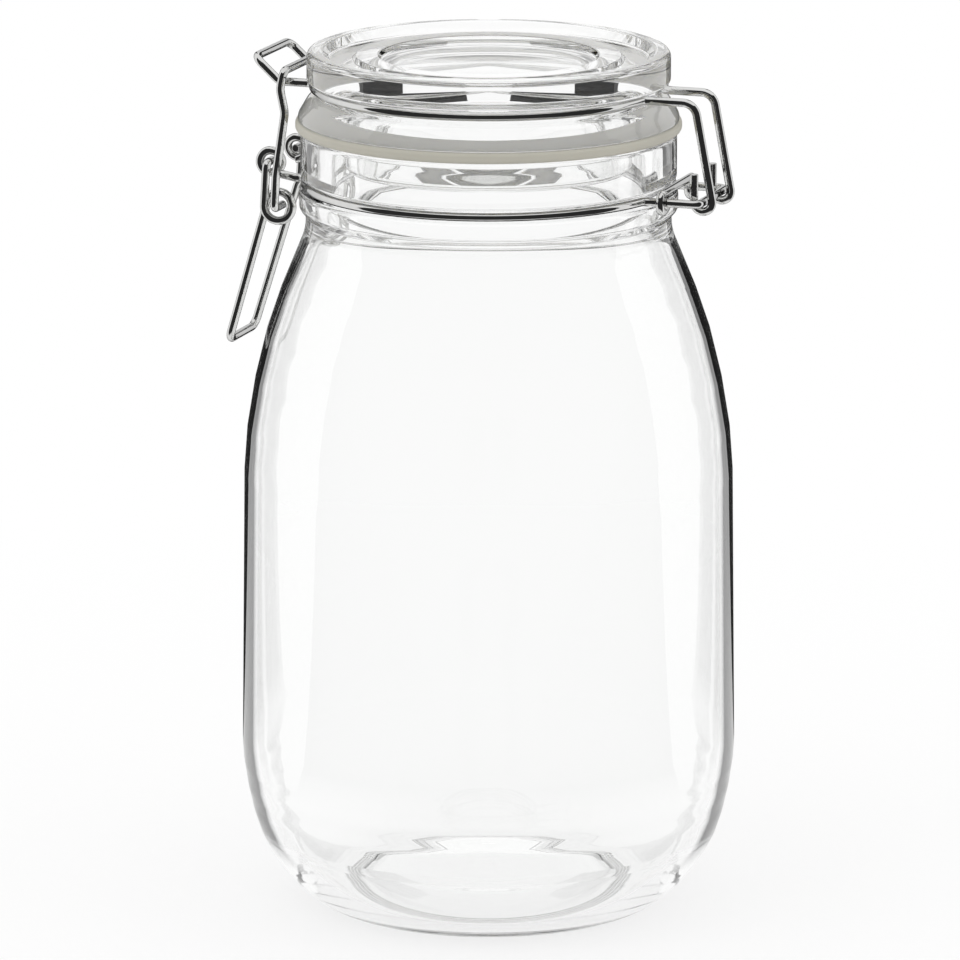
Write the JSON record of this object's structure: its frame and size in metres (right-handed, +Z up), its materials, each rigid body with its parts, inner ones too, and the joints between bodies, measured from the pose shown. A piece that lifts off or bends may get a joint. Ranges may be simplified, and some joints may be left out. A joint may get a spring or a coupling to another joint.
{
  "type": "clip-top jar",
  "caption": "Round clear glass storage jar with a hinged glass lid, a rubber seal and a bent-wire lever clasp.",
  "frame": {"origin": "centre of the base ring, in the plane that the jar stands on", "axes": "+Z up the jar, +Y towards the lid's hinge, -Y towards the clasp, +X along the hinge pin"},
  "size_m": [0.13, 0.1352, 0.228],
  "materials": {
    "glass": "clear, polished",
    "seal": "off-white, satin",
    "wire": "bright drawn wire"
  },
  "bodies": {
    "jar": {"jar": "glass", "neck_wire": "wire", "hinge_tie": "wire"},
    "lid": {"lid": "glass", "lid_wire": "wire", "gasket": "seal"},
    "lever": {"lever": "wire"},
    "bail": {"bail": "wire"}
  },
  "joints": [
    {"name": "lid_hinge", "type": "hinge", "parent": "jar", "child": "lid", "pos_m": [0, 0.061, 0.1929], "axis": [-1, 0, 0], "range_deg": [0, 200]},
    {"name": "lever_pivot", "type": "hinge", "parent": "jar", "child": "lever", "pos_m": [0, -0.0568, 0.1967], "axis": [-1, 0, 0], "range_deg": [0, 140]},
    {"name": "bail_pivot", "type": "hinge", "parent": "lever", "child": "bail", "pos_m": [0, -0.0538, 0.1852], "axis": [1, 0, 0], "range_deg": [0, 105]}
  ],
  "couplings": [
    {"joint": "bail_pivot", "follows": "lever_pivot", "ratio": 0.75}
  ]
}
